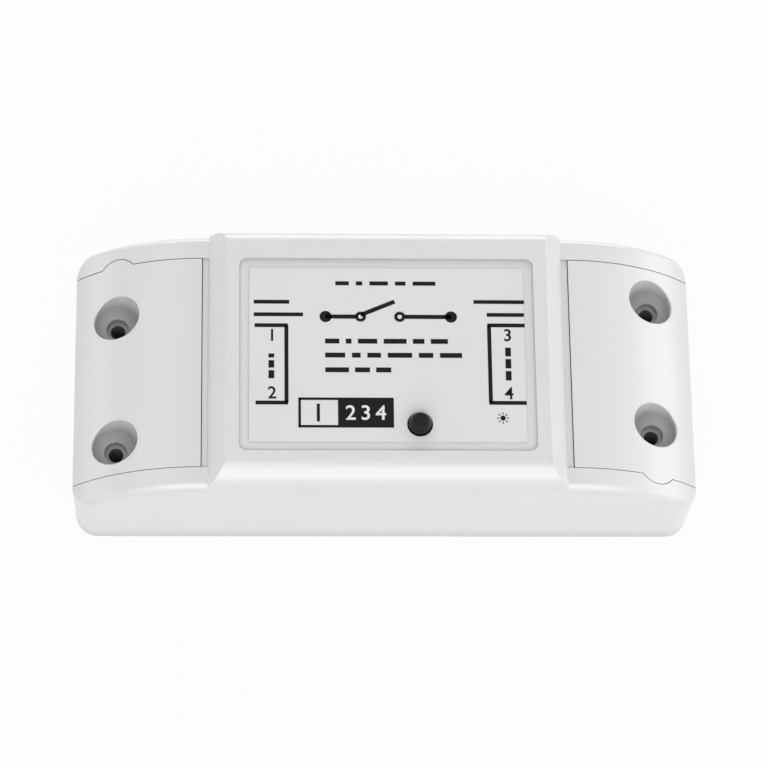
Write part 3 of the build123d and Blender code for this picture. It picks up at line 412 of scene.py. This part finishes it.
class StageLook(bpy.types.PropertyGroup):
    """Camera, lamps and sky."""

    sky: FloatProperty(
        name="Sky", description="Strength of the even light from all round", default=0.2, min=0.0)
    lamps: FloatProperty(
        name="Lamps", description="Share of the lamps' set power", default=0.85, min=0.0, subtype="FACTOR")
    lens: FloatProperty(
        name="Lens", description="Focal length for a 36 mm sensor", default=154.508,
        subtype="DISTANCE_CAMERA")
    azimuth: FloatProperty(
        name="Azimuth", description="Camera's direction from the front", default=math.radians(-7.2442),
        subtype="ANGLE")
    elevation: FloatProperty(
        name="Elevation", description="Camera's height angle", default=math.radians(68.954),
        subtype="ANGLE")
    roll: FloatProperty(
        name="Roll", description="Camera's roll", default=math.radians(6.9591), subtype="ANGLE")
    distance: FloatProperty(
        name="Distance", description="From the target to the camera", default=0.471141, subtype="DISTANCE")


class RELAY_OT_housing(bpy.types.Operator):
    """Round the edges of the white mouldings and give them their plastic"""

    bl_idname = "relay.housing"
    bl_label = "Housing"

    def execute(self, context):
        look = context.scene.relay_housing
        # ABS from a polished mould: a glossy skin over a softer sheen, with the faintest orange peel
        plastic = surface(
            "moulded_white_abs", look.white, look.shade, look.roughness, grain_mm=1.4, bump_mm=0.0006,
            # The dark tone #A6A3A6 is painted shade, laid into hollows, holes and seams
            ior=1.54, coat=1.0, coat_roughness=0.3, coat_ior=1.6, rough_spread=0.03, painted_hollow_shade="#A6A3A6",
        )
        rounded("top_shell", look.shell_edge, plastic)
        rounded("end_cover_left", look.cover_edge, plastic)
        rounded("end_cover_right", look.cover_edge, plastic)
        rounded("base_tray", look.cover_edge, plastic)
        return {"FINISHED"}


class RELAY_OT_label(bpy.types.Operator):
    """Finish the face label and print it"""

    bl_idname = "relay.label"
    bl_label = "Face label"

    def bar(self, x0, x1, y0, y1):
        """One printed rectangle, between two corners in millimetres."""
        bpy.ops.mesh.primitive_cube_add(
            size=1,
            location=((x0 + x1) / 2 * MM, (y0 + y1) / 2 * MM, self.level),
            scale=((x1 - x0) * MM, (y1 - y0) * MM, self.depth),
        )

    def slant(self, a, b, width):
        """One printed stroke between two points, in millimetres."""
        run = Vector(b) - Vector(a)
        middle = (Vector(a) + Vector(b)) / 2
        bpy.ops.mesh.primitive_cube_add(
            size=1,
            location=(middle.x * MM, middle.y * MM, self.level),
            rotation=(0, 0, math.atan2(run.y, run.x)),
            scale=(run.length * MM, width * MM, self.depth),
        )

    def ring(self, x, y, radius, width):
        """One printed ring, as short strokes laid end to end."""
        mid = radius - width / 2
        for i in range(RING_STEPS):
            a, b = (2 * math.pi * k / RING_STEPS for k in (i, i + RING_OVERLAP))
            self.slant(
                (x + mid * math.cos(a), y + mid * math.sin(a)),
                (x + mid * math.cos(b), y + mid * math.sin(b)),
                width,
            )

    def dot(self, x, y, radius):
        """One printed dot."""
        bpy.ops.mesh.primitive_cylinder_add(
            vertices=DOT_STEPS, radius=radius * MM, depth=self.depth,
            location=(x * MM, y * MM, self.level),
        )

    def words(self, x, y, lengths, height, gap):
        """A row of plain strokes in the place of a line of small print."""
        for length in lengths:
            self.bar(x, x + length, y - height / 2, y + height / 2)
            x += length + gap

    def contact(self):
        """A changeover contact, drawn as a plain wiring symbol."""
        for left, right in CONTACT_LINES:
            self.bar(left, right, CONTACT_Y - CONTACT_STROKE / 2, CONTACT_Y + CONTACT_STROKE / 2)
        self.slant(*CONTACT_ARM, CONTACT_STROKE)
        for x in CONTACT_RINGS:
            self.ring(x, CONTACT_Y, RING_RADIUS, RING_STROKE)
        for x in CONTACT_DOTS:
            self.dot(x, CONTACT_Y, DOT_RADIUS)

    def panel(self):
        """The framed panel: an open half with a line round it, and a solid half."""
        self.bar(PANEL_LEFT, PANEL_SPLIT, PANEL_HIGH - PANEL_FRAME, PANEL_HIGH)
        self.bar(PANEL_LEFT, PANEL_SPLIT, PANEL_LOW, PANEL_LOW + PANEL_FRAME)
        self.bar(PANEL_LEFT, PANEL_LEFT + PANEL_FRAME, PANEL_LOW, PANEL_HIGH)
        self.bar(PANEL_SPLIT, PANEL_RIGHT, PANEL_LOW, PANEL_HIGH)

    def lamp_sign(self):
        """A small lamp sign: a dot with rays."""
        self.dot(SIGN_X, SIGN_Y, SIGN_DOT)
        for k in range(SIGN_RAYS):
            a = 2 * math.pi * k / SIGN_RAYS
            centre, ray = Vector((SIGN_X, SIGN_Y)), Vector((math.cos(a), math.sin(a)))
            self.slant(centre + ray * RAY_START, centre + ray * RAY_END, RAY_WIDTH)

    def numeral(self, sign, x, y, size, material):
        """A plain numeral, centred on a point, as a mesh with its place in it."""
        nothing_selected()
        bpy.ops.object.text_add(location=(0, 0, 0))
        text = bpy.context.object
        text.data.body = sign
        text.data.size = size * MM / NUMERAL_HEIGHT_SHARE
        text.data.extrude = self.depth / 2
        text.data.offset = NUMERAL_BOLDNESS * MM
        text.data.resolution_u = NUMERAL_STEPS
        text.data.align_x = "CENTER"
        bpy.ops.object.convert(target="MESH")
        text = bpy.context.object
        text.location = (x * MM, (y - size / 2) * MM, self.level)
        bpy.ops.object.transform_apply(location=True, rotation=True, scale=True)
        text.data.materials.clear()
        text.data.materials.append(material)
        return text

    def execute(self, context):
        look = context.scene.relay_print
        # Polyester label film, matt-varnished: a dry sheen with a very fine tooth
        film = surface(
            "polyester_label_film", look.film, shade="#DBD8DB", roughness=0.42, grain_mm=0.25,
            bump_mm=0.003, ior=1.5)
        # Screen-printed ink: dense black with a slight shine
        ink = surface(
            "screen_printed_ink", look.ink, shade="#121112", roughness=0.45, grain_mm=0.2, specular=0.12)
        # White screen-printed ink over the black: as dull as the film and a little brighter
        white_ink = surface(
            "white_screen_ink", base="#E6E3E6", shade="#E0DDE0", roughness=0.42, grain_mm=0.2, ior=1.5)
        dress(film, "face_label")

        self.depth = look.lift
        self.level = LABEL_TOP + self.depth / 2
        half = look.line / MM / 2
        # Every stroke is added to the speck's mesh in edit mode, so the print is one piece
        nothing_selected()
        left, right, y = RULED_LINES[0]
        middle = (left + right) / 2
        bpy.ops.mesh.primitive_plane_add(size=SPECK * MM, location=(middle * MM, y * MM, self.level))
        strokes_piece = bpy.context.object
        bpy.ops.object.transform_apply(location=True, rotation=True, scale=True)
        bpy.ops.object.mode_set(mode="EDIT")
        for left, right, y in RULED_LINES:
            self.bar(left, right, y - half, y + half)
        for x, low, high in BRACKETS:
            self.bar(x - half, x + half, low, high)
        self.contact()
        for line in SMALL_PRINT:
            self.words(*line)
        for left, strokes in UPRIGHT_PRINT:
            for low, high in strokes:
                self.bar(left, left + UPRIGHT_WIDTH, low, high)
        self.panel()
        self.lamp_sign()
        bpy.ops.object.mode_set(mode="OBJECT")
        strokes_piece.data.materials.append(ink)
        numerals = [self.numeral(*place, POLE_SIZE, ink) for place in POLE_NUMERALS]
        numerals.append(self.numeral(*PANEL_NUMERAL, PANEL_SIZE, ink))
        print_piece = joined([strokes_piece, *numerals], "label_print")
        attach(print_piece, "module")

        self.level += self.depth
        numerals = [self.numeral(*place, WHITE_SIZE, white_ink) for place in WHITE_NUMERALS]
        signs = joined(numerals, "label_print_white")
        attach(signs, "module")
        return {"FINISHED"}


class RELAY_OT_button(bpy.types.Operator):
    """Finish the push button and its switch"""

    bl_idname = "relay.button"
    bl_label = "Button and switch"

    def execute(self, context):
        # Moulded black nylon: a deep satin black
        nylon = surface(
            "moulded_black_nylon", base="#0D0C0D", shade="#131213", roughness=0.38, grain_mm=0.3,
            bump_mm=0.004, specular=0.2)
        rounded("button_stem", BUTTON_EDGE * MM, nylon)
        dress(nylon, "button_switch_housing")
        dress(finish("tinned_sheet"), "button_switch_plate", "button_switch_dome", "button_switch_legs")
        return {"FINISHED"}


class RELAY_OT_terminals(bpy.types.Operator):
    """Finish the terminal blocks with their clamps, screws and contact strips"""

    bl_idname = "relay.terminals"
    bl_label = "Terminals"

    def execute(self, context):
        for end in ("input", "output"):
            dress(finish("moulded_green_polyamide"), f"{end}_terminal_housing")
            dress(finish("rolled_brass"), f"{end}_contact_strips")
            for kind in ("clamp_cage", "terminal_screw"):
                dress(finish("zinc_plated_steel"), f"{end}_{kind}_1", f"{end}_{kind}_2")
        return {"FINISHED"}


class RELAY_OT_switching(bpy.types.Operator):
    """Finish the switching relay with its coil, magnet and contacts"""

    bl_idname = "relay.switching"
    bl_label = "Switching relay"

    def execute(self, context):
        dress(finish("moulded_blue_polyester"), "relay_case", "relay_base")
        dress(finish("moulded_black_phenolic"), "relay_bobbin")
        dress(finish("enamelled_copper_turns"), "relay_coil")
        dress(finish("zinc_plated_steel"), "relay_core", "relay_yoke", "relay_armature")
        dress(finish("rolled_brass"), "relay_moving_contact", "relay_working_contact", "relay_rest_contact")
        dress(finish("tinned_sheet"), "relay_pins")
        return {"FINISHED"}


class RELAY_OT_supply(bpy.types.Operator):
    """Finish the power supply's parts"""

    bl_idname = "relay.supply"
    bl_label = "Power supply"

    def execute(self, context):
        dress(finish("sintered_ferrite"), "transformer_core", "supply_inductor")
        dress(finish("moulded_black_phenolic"), "transformer_bobbin")
        dress(finish("polyester_winding_tape"), "transformer_winding")
        dress(finish("shrunk_sleeve_can"), "mains_capacitor", "supply_capacitor")
        dress(finish("moulded_yellow_box"), "film_capacitor")
        dress(finish("green_resistor_lacquer"), "fuse_resistor")
        dress(finish("blue_dipped_resin"), "varistor")
        dress(finish("moulded_chip_epoxy"), "bridge_rectifier", "regulator_chip")
        return {"FINISHED"}


class RELAY_OT_logic(bpy.types.Operator):
    """Finish the circuit board, the radio module and the small parts beside it"""

    bl_idname = "relay.logic"
    bl_label = "Board and logic"

    def execute(self, context):
        dress(finish("lacquered_glass_laminate"), "circuit_board", "radio_module_board")
        dress(finish("tinned_sheet"), "radio_module_shield")
        dress(finish("moulded_chip_epoxy"), "driver_transistor", "flyback_diode")
        dress(finish("milky_lamp_epoxy"), "indicator_lamp")
        return {"FINISHED"}


class RELAY_OT_stage(bpy.types.Operator):
    """Set the floor, the lamps and the camera"""

    bl_idname = "relay.stage"
    bl_label = "Stage"

    def lamp(self, azimuth, elevation, height, power):
        """A long soft lamp that looks at the module."""
        away = towards(math.radians(azimuth), math.radians(elevation))
        data = bpy.data.lights.new(f"lamp_{azimuth}_{elevation}", "AREA")
        data.energy = power
        data.shape = "RECTANGLE"
        data.size = LAMP_LENGTH
        data.size_y = height
        thing = bpy.data.objects.new(data.name, data)
        bpy.context.collection.objects.link(thing)
        thing.location = away * LAMP_DISTANCE + Vector(LAMP_TARGET)
        thing.rotation_euler = (-away).to_track_quat("-Z", "Y").to_euler()

    def floor(self):
        """A floor of matt white card, shown as white where the camera looks straight at it."""
        nothing_selected()
        bpy.ops.mesh.primitive_plane_add(size=FLOOR_SIZE, location=(0, 0, 0))
        floor = bpy.context.object
        floor.name = "floor"
        card = bpy.data.materials.new("white_card")
        card.use_nodes = True
        tree = card.node_tree
        shader = tree.nodes["Principled BSDF"]
        shader.inputs["Base Color"].default_value = linear(CARD)
        shader.inputs["Roughness"].default_value = 0.9
        shader.inputs["Specular IOR Level"].default_value = 0.0
        share = put(tree, "ShaderNodeMath", {1: FLOOR_WHITE_SHARE}, {0: seen_straight(tree)},
                    operation="MULTIPLY")
        glow = put(tree, "ShaderNodeEmission", {"Color": linear(WHITE), "Strength": 1.0})
        mixed = put(tree, "ShaderNodeMixShader", links={
            0: share.outputs[0], 1: shader.outputs[0], 2: glow.outputs[0]})
        tree.links.new(mixed.outputs[0], tree.nodes["Material Output"].inputs["Surface"])
        floor.data.materials.append(card)

    def sky(self, scene, strength):
        """An even light from all round, seen as plain white."""
        world = scene.world or bpy.data.worlds.new("studio")
        scene.world = world
        world.use_nodes = True
        tree = world.node_tree
        tree.nodes.clear()
        plain = put(tree, "ShaderNodeBackground", {"Color": linear(WHITE), "Strength": strength})
        white = put(tree, "ShaderNodeBackground", {"Color": linear(WHITE), "Strength": 1.0})
        mixed = put(tree, "ShaderNodeMixShader", links={
            0: seen_straight(tree), 1: plain.outputs[0], 2: white.outputs[0]})
        put(tree, "ShaderNodeOutputWorld", links={"Surface": mixed.outputs[0]})

    def camera(self, scene, look):
        """The camera at the photograph's viewing angle."""
        back = towards(look.azimuth, look.elevation)
        data = bpy.data.cameras.new("camera")
        data.lens = look.lens
        data.sensor_width = SENSOR_WIDTH_MM
        data.shift_x, data.shift_y = CAMERA_SHIFT
        data.clip_start = NEAREST
        camera = bpy.data.objects.new("camera", data)
        bpy.context.collection.objects.link(camera)
        right = Vector((0.0, 0.0, 1.0)).cross(back).normalized()
        up = back.cross(right)
        turned = Matrix.Rotation(look.roll, 3, back)
        place = Matrix((turned @ right, turned @ up, back)).transposed().to_4x4()
        place.translation = Vector(CAMERA_TARGET) + back * look.distance
        camera.matrix_world = place
        scene.camera = camera

    def execute(self, context):
        look = context.scene.relay_stage
        self.floor()
        self.sky(context.scene, look.sky)
        for azimuth, lamps in LAMPS.items():
            for elevation, height, power in lamps:
                self.lamp(azimuth, elevation, height, power * look.lamps)
        self.camera(context.scene, look)
        context.scene.view_settings.view_transform = "Standard"
        return {"FINISHED"}


class RELAY_PT_panel(bpy.types.Panel):
    """Lists the steps that dress the relay module"""

    bl_idname = "RELAY_PT_panel"
    bl_label = "Relay module"
    bl_space_type = "VIEW_3D"
    bl_region_type = "UI"
    bl_category = "Relay module"

    def draw(self, context):
        for group in (context.scene.relay_housing, context.scene.relay_print, context.scene.relay_stage):
            box = self.layout.box()
            for name in group.bl_rna.properties.keys():
                if name not in ("rna_type", "name"):
                    box.prop(group, name)
        for step in STEPS:
            self.layout.operator(step.bl_idname)


STEPS = (
    RELAY_OT_housing, RELAY_OT_label, RELAY_OT_button, RELAY_OT_terminals, RELAY_OT_switching,
    RELAY_OT_supply, RELAY_OT_logic, RELAY_OT_stage,
)
CLASSES = (HousingLook, PrintLook, StageLook, *STEPS, RELAY_PT_panel)
GROUPS = (("relay_housing", HousingLook), ("relay_print", PrintLook), ("relay_stage", StageLook))


def register():
    """Registers the classes and gives the scene their settings."""
    for cls in CLASSES:
        bpy.utils.register_class(cls)
    for name, cls in GROUPS:
        setattr(bpy.types.Scene, name, PointerProperty(type=cls))


def unregister():
    """Takes the settings and the classes away again."""
    for name, _ in GROUPS:
        delattr(bpy.types.Scene, name)
    for cls in reversed(CLASSES):
        bpy.utils.unregister_class(cls)


def main():
    """Registers the add-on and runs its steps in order."""
    register()
    bpy.ops.relay.housing()
    bpy.ops.relay.label()
    bpy.ops.relay.button()
    bpy.ops.relay.terminals()
    bpy.ops.relay.switching()
    bpy.ops.relay.supply()
    bpy.ops.relay.logic()
    bpy.ops.relay.stage()


if __name__ == "__main__":
    main()
